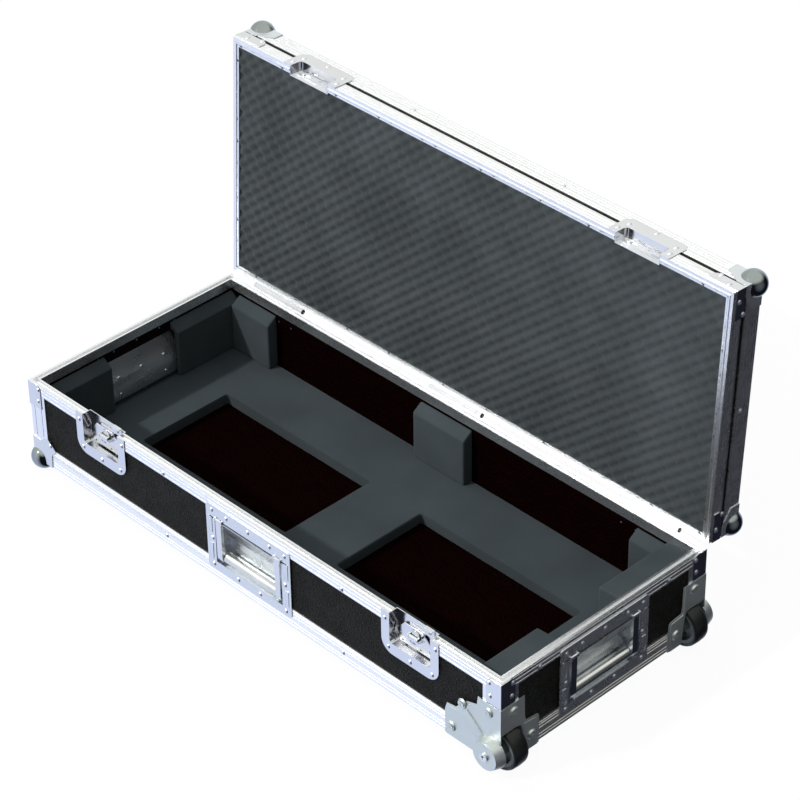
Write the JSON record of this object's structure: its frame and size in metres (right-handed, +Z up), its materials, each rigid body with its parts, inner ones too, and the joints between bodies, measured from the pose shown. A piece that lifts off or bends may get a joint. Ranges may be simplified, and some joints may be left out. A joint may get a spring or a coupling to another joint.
{
  "type": "flight case",
  "caption": "Long wheeled flight case with a hinged lid standing open, twist latches, sprung recessed handles and grey foam inside",
  "frame": {"origin": "middle of the base box's plan, on the underside of the floor panel", "axes": "+X along the length, towards the wheels; +Y from the latches to the hinges; +Z up"},
  "size_m": [1.033, 0.531, 0.5888],
  "materials": {
    "panel": "black textured laminate on plywood",
    "edging": "ribbed satin extrusion",
    "bright_steel": "bright pressed steel",
    "zinc_steel": "zinc plate, satin",
    "grip": "smooth",
    "hub": "moulded",
    "tyre": "solid rubber",
    "foam": "open foam"
  },
  "bodies": {
    "base": {"base_back_panel": "panel", "base_ball_corners": "bright_steel", "base_bottom_edging": "edging", "base_corner_angles": "edging", "base_corner_braces": "bright_steel", "base_floor_panel": "panel", "base_front_panel": "panel", "base_left_panel": "panel", "base_right_panel": "panel", "base_rim_long": "edging", "base_rim_short": "edging", "bracket_screws": "bright_steel", "foam_back_blocks": "foam", "foam_floor": "foam", "foam_front_blocks": "foam", "foam_left_pads": "foam", "foam_right_pads": "foam", "handle_dish_front": "bright_steel", "handle_dish_left": "bright_steel", "handle_dish_right": "bright_steel", "handle_pins": "bright_steel", "hinge_leaves_lower": "bright_steel", "hinge_pins": "bright_steel", "latch_tray_left": "bright_steel", "latch_tray_right": "bright_steel", "rivets_base": "bright_steel", "wheel_axles": "bright_steel", "wheel_bracket_back": "zinc_steel", "wheel_bracket_front": "zinc_steel"},
    "lid": {"hinge_leaves_upper": "bright_steel", "lid_back_panel": "panel", "lid_ball_corners": "bright_steel", "lid_corner_braces": "bright_steel", "lid_foam": "foam", "lid_front_panel": "panel", "lid_latch_trays": "bright_steel", "lid_left_panel": "panel", "lid_right_panel": "panel", "lid_rim": "edging", "lid_roof_panel": "panel", "lid_strikes": "bright_steel", "lid_top_edging": "edging", "rivets_lid": "bright_steel"},
    "handle_front": {"handle_bail_front": "bright_steel", "handle_grip_front": "grip"},
    "handle_left": {"handle_bail_left": "bright_steel", "handle_grip_left": "grip"},
    "handle_right": {"handle_bail_right": "bright_steel", "handle_grip_right": "grip"},
    "rotor_left": {"latch_rotor_left": "bright_steel"},
    "rotor_right": {"latch_rotor_right": "bright_steel"},
    "wing_left": {"latch_wing_left": "bright_steel"},
    "wing_right": {"latch_wing_right": "bright_steel"},
    "claw_left": {"latch_claw_left": "bright_steel"},
    "claw_right": {"latch_claw_right": "bright_steel"},
    "wheel_front": {"wheel_hub_front": "hub", "wheel_tyre_front": "tyre"},
    "wheel_back": {"wheel_hub_back": "hub", "wheel_tyre_back": "tyre"}
  },
  "joints": [
    {"name": "lid_hinge", "type": "hinge", "parent": "base", "child": "lid", "pos_m": [0, 0.2107, 0.1437], "axis": [1, 0, 0], "range_deg": [0, 93.2]},
    {"name": "handle_front_hinge", "type": "hinge", "parent": "base", "child": "handle_front", "pos_m": [-0.0045, -0.2066, 0.1085], "axis": [-1, 0, 0], "range_deg": [0, 90], "stiffness_Nm_per_rad": 0.25, "springref_deg": -34.38},
    {"name": "handle_right_hinge", "type": "hinge", "parent": "base", "child": "handle_right", "pos_m": [0.5006, -0.002, 0.1085], "axis": [0, -1, 0], "range_deg": [0, 90], "stiffness_Nm_per_rad": 0.25, "springref_deg": -34.38},
    {"name": "handle_left_hinge", "type": "hinge", "parent": "base", "child": "handle_left", "pos_m": [-0.5006, -0.002, 0.1085], "axis": [0, 1, 0], "range_deg": [0, 90], "stiffness_Nm_per_rad": 0.25, "springref_deg": -34.38},
    {"name": "latch_left_twist", "type": "hinge", "parent": "base", "child": "rotor_left", "pos_m": [-0.3315, -0.206, 0.1195], "axis": [0, -1, 0], "range_deg": [0, 180]},
    {"name": "latch_left_wing", "type": "hinge", "parent": "rotor_left", "child": "wing_left", "pos_m": [-0.3315, -0.2002, 0.1195], "axis": [-1, 0, 0], "range_deg": [0, 90]},
    {"name": "latch_left_claw", "type": "slide", "parent": "base", "child": "claw_left", "axis": [0, 0, 1], "range_m": [-0.006, 0]},
    {"name": "latch_right_twist", "type": "hinge", "parent": "base", "child": "rotor_right", "pos_m": [0.327, -0.206, 0.1195], "axis": [0, -1, 0], "range_deg": [0, 180]},
    {"name": "latch_right_wing", "type": "hinge", "parent": "rotor_right", "child": "wing_right", "pos_m": [0.327, -0.2002, 0.1195], "axis": [-1, 0, 0], "range_deg": [0, 90]},
    {"name": "latch_right_claw", "type": "slide", "parent": "base", "child": "claw_right", "axis": [0, 0, 1], "range_m": [-0.006, 0]},
    {"name": "wheel_front_spin", "type": "hinge", "parent": "base", "child": "wheel_front", "pos_m": [0.485, -0.184, 0.016], "axis": [0, 1, 0], "continuous": true},
    {"name": "wheel_back_spin", "type": "hinge", "parent": "base", "child": "wheel_back", "pos_m": [0.485, 0.184, 0.016], "axis": [0, 1, 0], "continuous": true}
  ],
  "couplings": [
    {"joint": "latch_left_twist", "follows": "latch_left_claw", "rad_per_m": -523.6},
    {"joint": "latch_right_twist", "follows": "latch_right_claw", "rad_per_m": -523.6}
  ]
}
